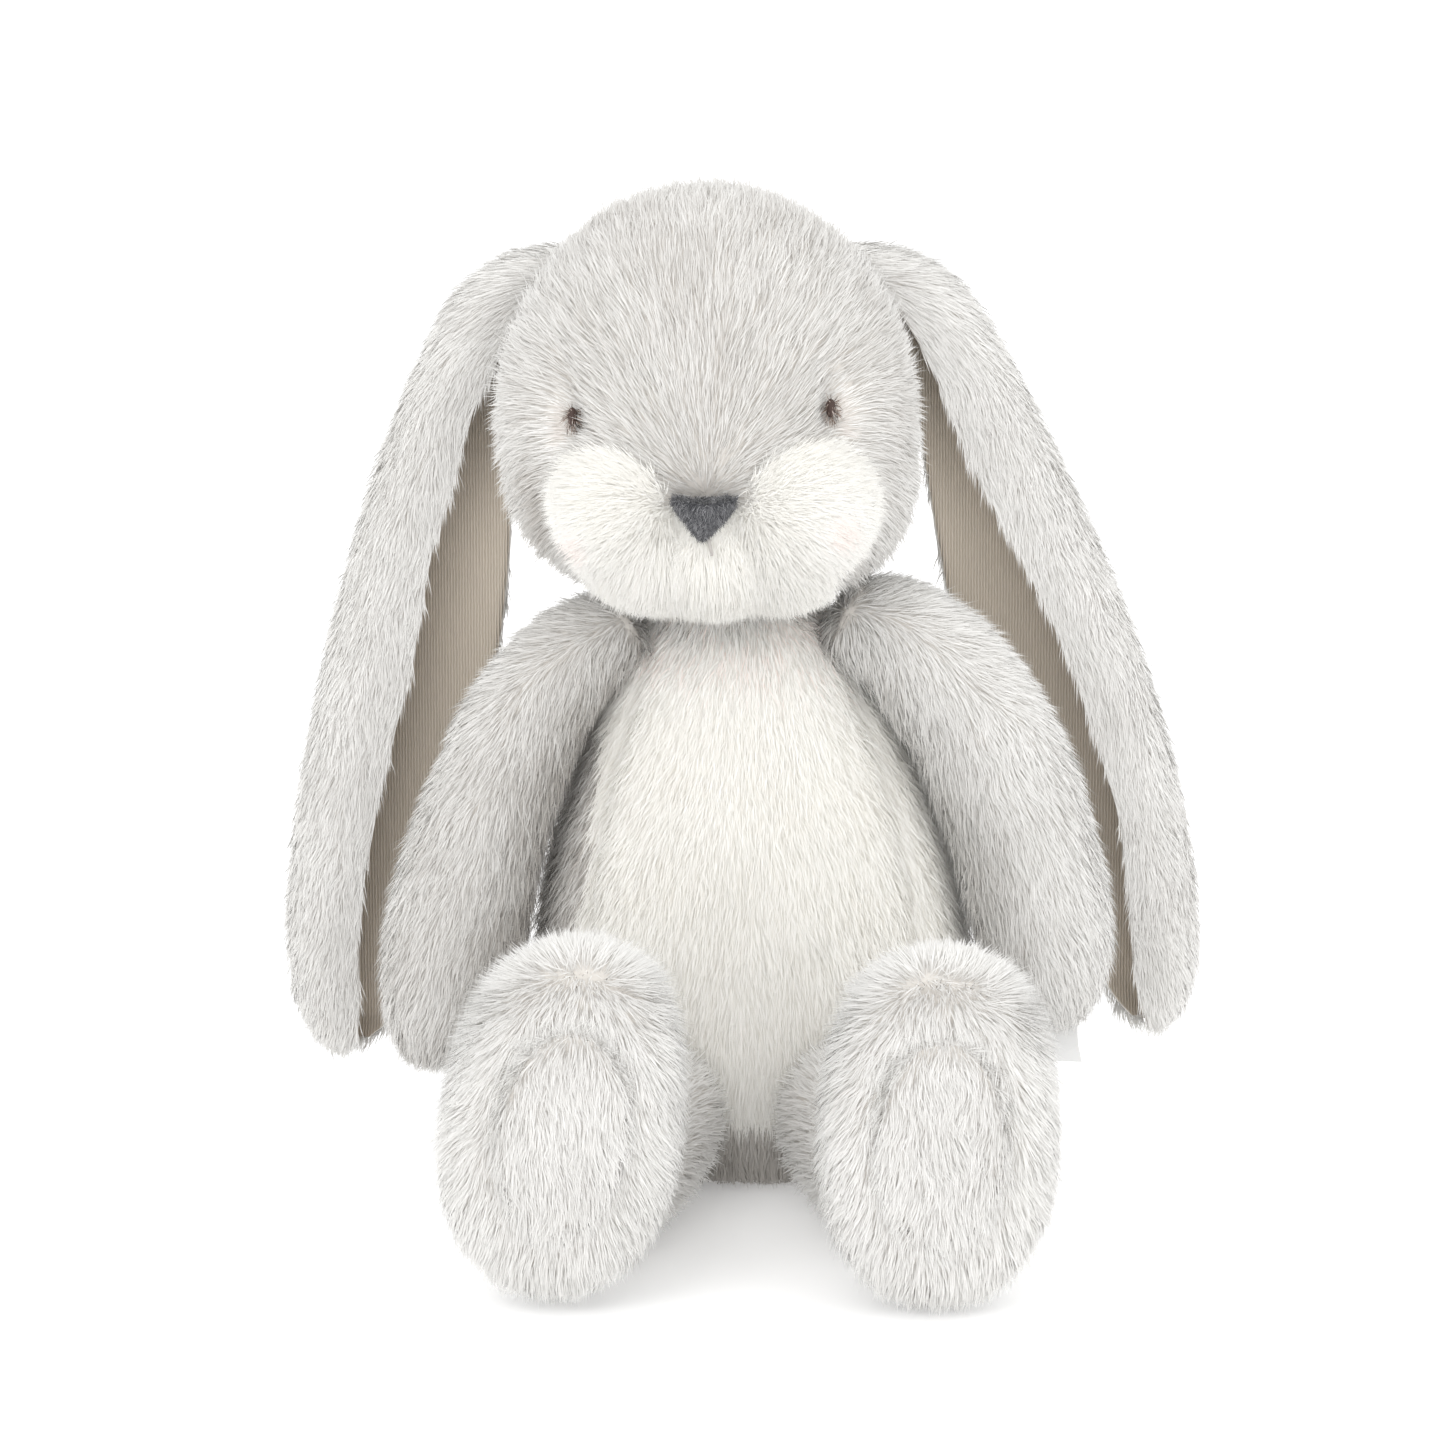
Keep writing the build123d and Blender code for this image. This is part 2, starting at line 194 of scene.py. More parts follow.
def tube(ctrl, radii, nv, nu, seed):
    """A soft round tube along a curve through ctrl, with these radii and rounded ends."""
    rows = np.hstack([np.array(ctrl, float), np.array(radii, float)[:, None]])
    c = curve_points(rows, nv)
    p, r = c[:, :3], c[:, 3]
    tan = unit(np.gradient(p, axis=0))
    side = vec(1, 0, 0)
    u = unit(side - (tan @ side)[:, None] * tan)
    w = np.cross(tan, u)
    ph = np.linspace(0, 2 * math.pi, nu, endpoint=False)
    rings = p[:, None] + r[:, None, None] * (
        np.cos(ph)[None, :, None] * u[:, None] + np.sin(ph)[None, :, None] * w[:, None])
    rings = rings + 0.7 * noise3(rings.reshape(-1, 3), 16, seed).reshape(rings.shape)
    return Skin(rings, top=p[0] - tan[0] * r[0] * 0.25,
                bottom=p[-1] + tan[-1] * r[-1] * 0.25).face_out()


# ---------------------------------------------------------------- fur
FUR_SHADOWS = False  # blade shadows make soft pile look hard and gapped
SLEEK = (32, 8)  # degrees a blade lifts below and above its bend
COMBED = (0.14, 0.24)  # jitter from blade to blade, and drift from clump to clump
ROOT_DEPTH = 0.4
BELOW_BEND, ABOVE_BEND = 0.42, 0.58  # shares of a blade's length
FLOOR_GAP = 0.15


def fur(name, body, mat, skin, count, flow, length, width, lift, jitter, clump, tone, density,
        seed, part=None):
    """Bent tapering blades of pile.

    flow(p, n) gives the comb direction and tone(p, n) a shade from 0 to 1. length and lift
    are values or functions of p, n. part(p, n) drops the blades where it is false.
    """
    p, n = skin.scatter(count, density, seed)
    if part is not None:
        keep = part(p, n)
        p, n = p[keep], n[keep]
    m = len(p)
    r = np.random.default_rng(seed + 100)
    f = flow(p, n)
    f = (f + clump * noise3(p, 7.0, seed) + clump * 0.9 * noise3(p, 3.0, seed + 3)
         + jitter * r.normal(size=(m, 3)))
    t = unit(f - np.sum(f * n, axis=1, keepdims=True) * n)
    s = np.cross(n, t)
    L = (length(p, n) if callable(length) else np.full(m, length)) * r.uniform(0.72, 1.18, m)
    if callable(lift):
        a1, a2 = lift(p, n)
    else:
        a1, a2 = np.full(m, float(lift[0])), np.full(m, float(lift[1]))
    wob = 9.0 * r.normal(size=m)
    a1, a2 = np.radians(a1 + wob), np.radians(a2 + wob * 1.2)
    p0 = p - ROOT_DEPTH * n
    p1 = p + (L * BELOW_BEND)[:, None] * (n * np.sin(a1)[:, None] + t * np.cos(a1)[:, None])
    p2 = p1 + (L * ABOVE_BEND)[:, None] * (n * np.sin(a2)[:, None] + t * np.cos(a2)[:, None])
    tw = r.uniform(-0.9, 0.9, m)[:, None]
    w = unit(s * np.cos(tw) + n * np.sin(tw)) * (width * r.uniform(0.7, 1.3, m))[:, None] * 0.5
    # every blade turns its front face outwards
    w = w * np.where(np.sum(np.cross(w, p2 - p0) * n, axis=1, keepdims=True) < 0, -1.0, 1.0)
    for q in (p0, p1, p2):
        q[:, 2] = np.maximum(q[:, 2], FLOOR_GAP)
    co = np.stack([p0 - w, p0 + w, p1 - w * 0.9, p1 + w * 0.9, p2], axis=1)
    base = (np.arange(m) * 5)[:, None]
    loops = np.hstack([base + [0, 1, 3, 2], base + [2, 3, 4]]).reshape(-1)
    me = bpy.data.meshes.new(name)
    me.vertices.add(m * 5)
    me.vertices.foreach_set("co", (co * MM).reshape(-1).astype(np.float32))
    me.loops.add(m * 7)
    me.loops.foreach_set("vertex_index", loops.astype(np.int32))
    me.polygons.add(m * 2)
    starts = (np.arange(m) * 7)[:, None] + [0, 4]
    me.polygons.foreach_set("loop_start", starts.reshape(-1).astype(np.int32))
    me.polygons.foreach_set("use_smooth", np.ones(m * 2, bool))
    me.update(calc_edges=True)
    shade = np.clip(tone(p, n), 0.02, 0.98)
    along = np.array([0.02, 0.02, 0.5, 0.5, 0.5, 0.5, 0.98])
    order = np.array([0, 1, 1, 0, 0, 1, 0.5])
    uv = np.empty((m, 7, 2), np.float32)
    uv[:, :, 0] = shade[:, None] + 0.002 * order
    uv[:, :, 1] = along
    layer = me.uv_layers.new(name="OFBake")
    layer.data.foreach_set("uv", uv.reshape(-1))
    bn = unit(np.cross(w, p2 - p0))
    vn = unit(0.95 * n + 0.22 * bn)
    tip = unit(0.95 * n + 0.18 * bn + 0.12 * t)
    nn = np.stack([vn, vn, vn, vn, tip], axis=1).reshape(-1, 3)
    me.normals_split_custom_set_from_vertices(nn.astype(np.float32))
    me.materials.append(mat)
    o = bpy.data.objects.new(name, me)
    scene.collection.objects.link(o)
    o.visible_shadow = FUR_SHADOWS
    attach(o, body)
    return o


# ---------------------------------------------------------------- materials
def principled(name, color, rough=0.9, sheen=0.0, tint=(1, 1, 1), spec=0.2):
    m = bpy.data.materials.new(name)
    m.use_nodes = True
    b = m.node_tree.nodes["Principled BSDF"]
    b.inputs["Base Color"].default_value = (*color, 1)
    b.inputs["Roughness"].default_value = rough
    b.inputs["Specular IOR Level"].default_value = spec
    b.inputs["Sheen Weight"].default_value = sheen
    b.inputs["Sheen Roughness"].default_value = 0.4
    b.inputs["Sheen Tint"].default_value = (*tint, 1)
    return m, m.node_tree, b


def ramp(nt, stops):
    n = nt.nodes.new("ShaderNodeValToRGB")
    e = n.color_ramp.elements
    e[0].position, e[0].color = stops[0][0], (*stops[0][1], 1)
    e[1].position, e[1].color = stops[-1][0], (*stops[-1][1], 1)
    for pos, c in stops[1:-1]:
        x = e.new(pos)
        x.color = (*c, 1)
    return n


def fur_material(name, tones, root, tip):
    """Colour by tone (U) and by place along the pile (V), darker towards the root as painted shade
    among the blades.
    """
    m, nt, b = principled(name, tones[1][1], rough=0.85, sheen=0.25, spec=0.12)
    uv = nt.nodes.new("ShaderNodeUVMap")
    uv.uv_map = "OFBake"
    sep = nt.nodes.new("ShaderNodeSeparateXYZ")
    nt.links.new(uv.outputs[0], sep.inputs[0])
    hue = ramp(nt, tones)
    nt.links.new(sep.outputs[0], hue.inputs[0])
    middle = tuple((r + 2 * t) / 3 for r, t in zip(root, tip))
    # painted shade: the pile darkens from tip to root, since the blades cast no shadows
    depth = ramp(nt, [(0.0, root), (0.55, middle), (1.0, tip)])
    nt.links.new(sep.outputs[1], depth.inputs[0])
    mix = nt.nodes.new("ShaderNodeMix")
    mix.data_type = "RGBA"
    mix.blend_type = "MULTIPLY"
    mix.inputs[0].default_value = 1.0
    nt.links.new(hue.outputs[0], mix.inputs[6])
    nt.links.new(depth.outputs[0], mix.inputs[7])
    nt.links.new(mix.outputs[2], b.inputs["Base Color"])
    return m


# The grey's darkest, warmest stop carries the painted shade on the body's sides and inner arms; its
# top stop is the brown round the eyes.
GREY = fur_material("grey_fur", [
    (0.0, (0.50, 0.475, 0.445)), (0.3, (0.735, 0.727, 0.708)), (0.6, (0.84, 0.836, 0.82)),
    (0.8, (0.92, 0.918, 0.908)), (1.0, (0.66, 0.575, 0.52))],
    (0.82, 0.80, 0.775), (1.0, 1.0, 1.0))
CREAM = fur_material("cream_fur", [
    (0.0, (0.84, 0.815, 0.76)), (0.35, (0.88, 0.868, 0.83)), (0.75, (0.92, 0.914, 0.888)),
    (1.0, (0.95, 0.83, 0.785))], (0.97, 0.96, 0.94), (1.0, 1.0, 1.0))
# The backings take the pile roots' darker colour, painted shade down among the pile; the grey one
# is warmer for the shade between arms and body.
grey_skin, _, _ = principled("grey_backing", (0.68, 0.65, 0.61), rough=0.95)
cream_skin, _, _ = principled("cream_backing", (0.90, 0.885, 0.85), rough=0.95)


def backing(name, body, skin, mat, nodes, pale=None):
    """The stuffed shape under the pile; pale(p) is true where it is cream."""
    o = skin.mesh(name, body, mat)
    if pale is not None:
        o.data.materials.append(cream_skin)
        mid = np.empty(len(o.data.polygons) * 3, np.float32)
        o.data.polygons.foreach_get("center", mid)
        cream = pale(mid.reshape(-1, 3) / MM).astype(np.int32)
        o.data.polygons.foreach_set("material_index", cream)
    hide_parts(*nodes)
    return o


def down(p, n):
    return np.tile(vec(0, 0, -1.0), (len(p), 1))


def grey_tone(p, n, seed=5):
    r = np.random.default_rng(seed)
    return 0.46 + 0.08 * noise3(p, 11.0, seed)[:, 0] + 0.09 * r.normal(size=len(p)).clip(-2, 2)


def cream_tone(p, n, seed=6):
    r = np.random.default_rng(seed)
    return 0.45 + 0.08 * noise3(p, 10.0, seed)[:, 0] + 0.14 * r.normal(size=len(p)).clip(-2, 2)


# ---------------------------------------------------------------- head
HEAD = vec(-9, -4, 209)
SKULL_UP, SKULL_DOWN = 60.5, 53.0
SKULL_LEFT, SKULL_RIGHT = 54.5, 55.0
SKULL_DEEP = 51.0
CHEEK = {"right": vec(-30.5, -40.0, 189.5), "left": vec(13.5, -40.5, 189.0)}
CHEEK_R = {"right": 17.2, "left": 18.6}
JOWL = {"right": vec(-24.0, -37.5, 179.5), "left": vec(11.0, -37.5, 179.5)}
JOWL_R = 15.2
CHIN, CHIN_R = vec(-7, -38.5, 178.5), 15.6
JAW = {"right": vec(-32.0, -10.0, 195), "left": vec(15.0, -10.0, 192)}
JAW_R = {"right": 28.5, "left": 30.0}
NOSE = vec(-9.2, -60.0, 189.0)
EYE = {"right": vec(-44.6, 0, 214.0), "left": vec(23.6, 0, 216.6)}
SOCKET_DEPTH, BROW_HEIGHT = 4.5, 1.8
MUZZLE_BACK = -16  # the cream pile stops at this Y
FACE_BACK = -20  # the marks round the eyes stop at this Y


def head_parts(d):
    """Distances from HEAD along unit rays d to the skull, both cheeks and the chin."""
    rz = np.where(d[:, 2] > 0, SKULL_UP, SKULL_DOWN)
    rx = np.where(d[:, 0] > 0, SKULL_LEFT, SKULL_RIGHT)
    skull = ellipsoid(rx, SKULL_DEEP, rz)(d)
    for s in SIDES:
        skull = soft_max([skull, exit_of_ball(d, JAW[s] - HEAD, JAW_R[s])], 0.5)
    left = exit_of_ball(d, CHEEK["left"] - HEAD, CHEEK_R["left"])
    right = exit_of_ball(d, CHEEK["right"] - HEAD, CHEEK_R["right"])
    jowls = np.maximum(exit_of_ball(d, JOWL["left"] - HEAD, JOWL_R),
                       exit_of_ball(d, JOWL["right"] - HEAD, JOWL_R))
    chin = np.maximum(jowls, exit_of_ball(d, CHIN - HEAD, CHIN_R))
    return skull, left, right, chin


def head_radius(d):
    skull, left, right, chin = head_parts(d)
    r = soft_max([skull, left, right, chin], 0.55)
    p = HEAD + d * skull[:, None]
    front = p[:, 1] < HEAD[1]
    for s in SIDES:
        dx = p[:, 0] - EYE[s][0] - 0.10 * SIGN[s] * (p[:, 2] - EYE[s][2])
        dz = p[:, 2] - EYE[s][2]
        r = r - front * SOCKET_DEPTH * np.exp(-(dx / 4.5) ** 2 - (dz / 12.0) ** 2)
        brow = np.exp(-((dx - SIGN[s] * 11) / 7.0) ** 2 - ((dz + 4) / 14.0) ** 2)
        r = r + front * BROW_HEIGHT * brow
    return r + 0.6 * noise3(p, 22, 2)[:, 0]


head = ball_rings(HEAD, head_radius, nv=150, nu=210)


def muzzle_share(p):
    """True where the pile is cream: two cheeks, the chin and the underside."""
    x, z = p[:, 0], p[:, 2]
    cheek_r = (x + 34.0) ** 2 + (z - 191.5) ** 2 < 13.6**2
    cheek_l = (x - 17.5) ** 2 + (z - 190.5) ** 2 < 16.0**2
    chin = ((x + 9.0) / 33.0) ** 2 + ((z - 178.0) / 14.5) ** 2 < 1
    under = (z < 178) & (np.abs(x + 8) < 31)
    return (cheek_r | cheek_l | chin | under) & (p[:, 1] < MUZZLE_BACK)


def head_flow(p, n):
    """Away from the nose over the face, then back over the crown and down behind."""
    away = unit(p - (NOSE + vec(0, 6, 4)))
    side = smooth(20, 48, np.abs(p[:, 0] - HEAD[0])) * smooth(240, 200, p[:, 2])
    f = away + side[:, None] * np.array([0, 0.1, -0.75])
    back = smooth(10, 40, p[:, 1])
    return f + back[:, None] * np.array([0, 0, -1.2])


def muzzle_flow(p, n):
    centre = np.where((p[:, 0] < -8)[:, None], CHEEK["right"], CHEEK["left"])
    away = unit(p - NOSE)
    puff = unit(p - centre)
    f = 0.9 * away + 0.35 * puff + np.array([0, 0, -0.35])
    f[:, 2] -= 0.5 * smooth(185, 168, p[:, 2])
    return f


def head_length(p, n):
    """Shorter pile by the nose and over the eyes."""
    near_nose = np.exp(-(np.linalg.norm((p - NOSE) / vec(14, 12, 12), axis=1)) ** 2)
    eye = sum(np.exp(-((p[:, 0] - EYE[s][0]) / 5) ** 2 - ((p[:, 2] - EYE[s][2]) / 9) ** 2)
              for s in SIDES)
    eye = np.clip(eye, 0, 1) * (p[:, 1] < FACE_BACK)
    return 8.6 * (1 - 0.3 * near_nose) * (1 - 0.6 * eye)


def muzzle_length(p, n):
    return 7.0 - 2.6 * np.exp(-(np.linalg.norm(p - NOSE, axis=1) / 10) ** 2)


def head_tone(p, n):
    """Grey, darker over the front as painted shade, a painted shadow beside the right cheek, and
    brown round the eyes, partly brown strands and partly painted shade in the eye sockets.
    """
    # painted shade: the front half of the head is darker, against the stronger light it gets
    t = grey_tone(p, n, 11) - 0.15 * (p[:, 1] < 0)
    # painted shadow down the outer edge of the right cheek
    patch = np.exp(-((p[:, 0] + 51.5) / 4.0) ** 2 - ((p[:, 2] - 190) / 13) ** 2)
    t = t - 0.28 * patch * (p[:, 1] < -15)
    # brown round each eye: partly the eyes' brown strands, partly painted shade in the sockets
    for s in SIDES:
        dx = p[:, 0] - EYE[s][0] - SIGN[s] * 1.5
        dz = p[:, 2] - EYE[s][2] + 3
        e = np.exp(-(dx / 4.2) ** 2 - (dz / 9) ** 2) * (p[:, 1] < FACE_BACK)
        e = 0.8 * np.clip(1.35 * e, 0, 1) ** 2
        t = t * (1 - e) + e
    return t


BLUSH = (vec(-42, -52, 182), vec(24.0, -56, 186))
BLUSH_TONE, BLUSH_STRENGTH = 0.93, 0.85


def muzzle_tone(p, n):
    t = cream_tone(p, n, 12)
    for c in BLUSH:
        e = np.clip(1.3 * np.exp(-(np.linalg.norm(p - c, axis=1) / 6.5) ** 2), 0, 1) ** 1.5
        t = t * (1 - BLUSH_STRENGTH * e) + BLUSH_TONE * BLUSH_STRENGTH * e
    return t


def head_density(p):
    return np.where(p[:, 1] > 15, 0.55, 1.0) * np.where(p[:, 2] < 160, 0.7, 1.0)


backing("head_backing", "head", head, grey_skin, [
    "head_gusset", "head_side_left", "head_side_right", "head_back_left", "head_back_right",
    "cheek_left", "cheek_right", "chin_pad", "head_stuffing",
    "cheek_stuffing_left", "cheek_stuffing_right"], muzzle_share)
fur("head_fur", "head", GREY, head, 66000, head_flow, head_length, 0.29, (29, 6), 0.11, 0.20,
    head_tone, head_density, 21, part=lambda p, n: ~muzzle_share(p))
fur("muzzle_fur", "head", CREAM, head, 36000, muzzle_flow, muzzle_length, 0.30, (50, 32),
    0.22, 0.14, muzzle_tone, lambda p: muzzle_share(p) + TRACE, 22)

# ---------------------------------------------------------------- body
# One row per height: z, centre x, centre y, half width, half depth.
BODY = [(0.5, 3.0, 6, 38, 39), (8, 3.0, 5, 46, 45), (24, 3.5, 4.5, 55.0, 48),
        (50, 3.5, 4, 58.5, 49), (75, 3.5, 4, 56.5, 48), (98, 3.0, 4.5, 51, 44.5),
        (118, 2.0, 5, 43.5, 38.5), (134, 1.0, 4, 36, 31.5), (147, 0, 3, 29, 25),
        (156, -2, 2, 21, 19)]
BODY_X, BODY_Y = 2, 5
SEAM_ANGLE = 56  # of the crease on either side, in degrees from straight ahead


def around(p):
    """Degrees round the body from straight ahead, positive to the rabbit's left."""
    return np.degrees(np.arctan2(p[..., 1] - BODY_Y, p[..., 0] - BODY_X)) + 90


rows = curve_points(BODY, 90)
ph = np.linspace(0, 2 * math.pi, 150, endpoint=False)
rings = np.stack([rows[:, 1, None] + rows[:, 3, None] * np.cos(ph),
                  rows[:, 2, None] + rows[:, 4, None] * np.sin(ph),
                  np.repeat(rows[:, :1], len(ph), axis=1)], -1)
crease = np.exp(-((np.abs(np.abs(around(rings)) - SEAM_ANGLE)) / 5) ** 2)
middle = vec(BODY_X, BODY_Y)
rings[..., :2] = middle + (rings[..., :2] - middle) * (1 - 0.035 * crease[..., None])
rings[..., :2] += 0.6 * noise3(rings.reshape(-1, 3), 20, 4).reshape(rings.shape)[..., :2]
body = Skin(rings[::-1], top=vec(-2, 2, 158), bottom=vec(3.0, 6, 0.5)).face_out()


def tummy(p):
    """True on the cream panel, which reaches farther round the rabbit's left side."""
    a = around(p)
    low = smooth(30, 8, p[:, 2])
    edge = 2.0 * np.sin(p[:, 2] / 6.0)
    after = a > -60 - 18 * smooth(105, 135, p[:, 2]) + 28 * low + edge
    before = a < 84 - 44 * low + edge
    return after & before & (p[:, 2] > 20)


def body_flow(p, n):
    x = (p[:, 0] - BODY_X) / 50
    return np.stack([0.25 * x, np.zeros_like(x), -np.ones_like(x)], -1)


def tummy_tone(p, n):
    # painted light: the cream is paler towards the chin, lifting the shadow under the head
    return cream_tone(p, n) + 0.3 * smooth(125, 148, p[:, 2])


def body_tone(p, n):
    # painted shade: darker low at the front between the legs, and darker over the front half where
    # the arms shade the sides
    seat_shade = np.exp(-(p[:, 2] / 18) ** 2) * (p[:, 1] < -20)
    return grey_tone(p, n) - 0.4 * seat_shade - 0.28 * (p[:, 1] < 0)


def body_density(p):
    behind = np.where(p[:, 1] > 5, 0.7, 1.0)
    return (~tummy(p)) * behind * np.where(p[:, 2] < 2, 0.1, 1.0) + TRACE


backing("body_backing", "torso", body, grey_skin, [
    "body_tummy", "body_side_left", "body_side_right", "body_back_left", "body_back_right",
    "body_base", "body_stuffing", "body_bean_pouch", "body_bean_pellets"], tummy)
fur("tummy_fur", "torso", CREAM, body, 40000, body_flow, 7.5, 0.31, (30, 8), 0.14, 0.16,
    tummy_tone, lambda p: tummy(p) + TRACE, 31)
fur("body_fur", "torso", GREY, body, 34000, body_flow, 8.5, 0.36, SLEEK, *COMBED,
    body_tone, body_density, 32)

# tail
TAIL, TAIL_R = vec(2, 58, 26), 13.5
tail = ball_rings(TAIL, lambda d: np.full(len(d), TAIL_R), 40, 60)
backing("tail_backing", "torso", tail, cream_skin,
        ["tail_cover", "tail_stuffing"])
fur("tail_fur", "torso", CREAM, tail, 5000,
    lambda p, n: (p - TAIL) * 0.02 + np.array([0, 0.4, -0.5]),
    7.5, 0.55, (62, 40), 0.4, 0.4, cream_tone, None, 33)

# neck
NECK, NECK_R = vec(-4, 2, 150), 21.5
neck = ball_rings(NECK, lambda d: np.full(len(d), NECK_R), 40, 60)
backing("neck_backing", "neck", neck, grey_skin,
        ["neck_cover", "neck_stuffing"])
fur("neck_fur", "neck", GREY, neck, 5000, down, 7.0, 0.36, (32, 10), 0.2, 0.25,
    grey_tone, None, 34)

# ---------------------------------------------------------------- arms
# Points down the middle of each arm from the shoulder, and the radius at each.
ARM = {
    "right": ([(-31, -9, 152), (-44.5, -11, 144), (-56.5, -13, 130), (-66, -14, 110),
               (-73.5, -14.5, 88), (-79, -15, 64), (-82, -15, 44), (-82.5, -15, 33)],
              [8, 12.0, 14.0, 15.2, 16.2, 16.8, 14.5, 8.5]),
    "left": ([(28, -9, 154), (44.5, -11, 147), (58.5, -13, 133.5), (69.5, -14, 114),
              (77, -14.5, 95), (82.5, -15, 73), (85.5, -15, 54), (86.5, -15, 44)],
             [10, 14.5, 16.5, 17.5, 17.5, 16.8, 14.0, 8.0]),
}
# painted shade: the right arm is darkened as if in shade, the left one a touch paler
ARM_SHADE = {"right": 0.15, "left": -0.02}
ARM_SEED = {"right": 42, "left": 41}

for s in SIDES:
    arm = tube(*ARM[s], 70, 60, 3)

    def arm_flow(p, n, s=s):
        f = np.tile(vec(SIGN[s] * 0.35, -0.1, -1.0), (len(p), 1))
        return f + smooth(0.25, 0.75, n[:, 2])[:, None] * vec(SIGN[s] * 1.3, 0.9, 0.4)

    def arm_tone(p, n, s=s):
        # painted shade on the side of the arm that faces the body
        inner_side_shade = np.clip(-n[:, 0] * SIGN[s] - 0.1, 0, 1)
        return grey_tone(p, n) - ARM_SHADE[s] - 0.24 * inner_side_shade

    backing("arm_backing_" + s, "arm_" + s, arm, grey_skin,
            ["arm_front_" + s, "arm_back_" + s, "arm_stuffing_" + s])
    fur("arm_fur_" + s, "arm_" + s, GREY, arm, 34000, arm_flow, 8.0, 0.31, SLEEK, *COMBED,
        arm_tone, lambda p: np.where(p[:, 1] > -5, 0.6, 1.0), ARM_SEED[s])

# ---------------------------------------------------------------- legs and feet
# Points down the middle of each leg from the hip into the foot, and the radius at each.
LEG = {
    "right": [(-26, -34, 24.5), (-29, -52, 23.5), (-34, -76, 23.5), (-39, -98, 26),
              (-43, -115, 31), (-44.5, -130, 37)],
    "left": [(30, -34, 24.5), (33.5, -52, 23.5), (38, -76, 23.5), (43, -98, 26),
             (47, -115, 31), (48.5, -130, 37)],
}
LEG_R = [18.0, 21.5, 21.5, 21, 18.5, 12]
LEG_SEED = {"right": 52, "left": 51}
# The centre of each foot and its outward roll in degrees.
FOOT = {"right": (vec(-45, -137, 50.0), 9.0), "left": (vec(49.5, -139, 48.0), 1.0)}
FOOT_SEED = {"right": 62, "left": 61}
FOOT_HALF_HEIGHT = 43.3
SOLE_X, SOLE_Z = 25.5, 42.5
SEAM_AT, SEAM_WIDTH = 0.68, 0.06  # of the sole's stitched ring, as shares of the sole


def foot_frame(s):
    """The foot's centre, and its axes across, back and up."""
    c, roll = FOOT[s]
    a = math.radians(roll)
    across = vec(math.cos(a), 0.0, -math.sin(a))
    up = vec(math.sin(a), 0.0, math.cos(a))
    return c, across, vec(0, 1, 0), up


def sole_share(u, v):
    """0 at the middle of the sole, 1 at its edge."""
    return np.sqrt((u / SOLE_X) ** 2 + (v / SOLE_Z) ** 2)


def sole_seam(rim):
    return np.exp(-((rim - SEAM_AT) / SEAM_WIDTH) ** 2)


def foot_radius(s):
    c, ex, ey, ez = foot_frame(s)

    def radius(d):
        x, y, z = d @ ex, d @ ey, d @ ez
        depth = np.where(y < 0, 15.5, 17.0)
        half = 27.0 - 1.5 * z
        flat = (np.abs(x / half) ** 2.2 + np.abs(z / FOOT_HALF_HEIGHT) ** 2.2) ** (1 / 2.2)
        r = (flat ** 2.9 + np.abs(y / depth) ** 2.9) ** (-1 / 2.9)
        q = d * r[:, None]
        rim = sole_share(q @ ex, q @ ez)
        dome = np.clip(1 - (rim / SEAM_AT) ** 2, 0, 1) * (y < 0)
        return r - 3.2 * (sole_seam(rim) * (y < 0)) + 1.8 * dome

    return radius


def foot_lift(p, n):
    """The pile stands up in a tuft along the toe."""
    fluff = np.exp(-((n[:, 2] - 0.55) / 0.28) ** 2)
    return 36 + 30 * fluff, 12 + 40 * fluff


def foot_density(p):
    return np.where(p[:, 1] > -128, 0.5, 1.0) * np.where(p[:, 2] < 2, 0.3, 1.0)


for s in SIDES:
    leg = tube(LEG[s], LEG_R, 50, 60, 5)
    backing("leg_backing_" + s, "leg_" + s, leg, grey_skin,
            ["leg_top_" + s, "leg_bottom_" + s, "leg_stuffing_" + s])
    fur("leg_fur_" + s, "leg_" + s, GREY, leg, 12000,
        lambda p, n: np.tile(vec(0, 1.0, -0.35), (len(p), 1)), 8.0, 0.36, SLEEK, *COMBED,
        grey_tone, None, LEG_SEED[s])
    c, ex, ey, ez = foot_frame(s)
    foot = ball_rings(c, foot_radius(s), 90, 120)

    def foot_flow(p, n, c=c, ex=ex, ez=ez):
        """Down the sole, outwards past its seam, and back over the toe."""
        q = p - c
        u, v = q @ ex, q @ ez
        out = smooth(0.55, 0.8, sole_share(u, v))
        spread = 0.8 * u[:, None] / SOLE_X * ex + np.minimum(v, 0)[:, None] / SOLE_Z * ez
        f = out[:, None] * spread + np.array([0, 0, -1.0])
        return f + (1.6 * smooth(0.45, 0.8, n[:, 2]))[:, None] * np.array([0, 1.0, 0])

    def foot_length(p, n, c=c, ex=ex, ez=ez):
        q = p - c
        return 8.0 - 2.5 * sole_seam(sole_share(q @ ex, q @ ez)) * (q[:, 1] < 0)

    backing("foot_backing_" + s, "foot_" + s, foot, grey_skin,
            ["foot_upper_" + s, "foot_sole_" + s, "foot_stuffing_" + s])
    fur("foot_fur_" + s, "foot_" + s, GREY, foot, 36000, foot_flow, foot_length, 0.29,
        foot_lift, 0.16, 0.40, lambda p, n: grey_tone(p, n) + 0.06, foot_density, FOOT_SEED[s])

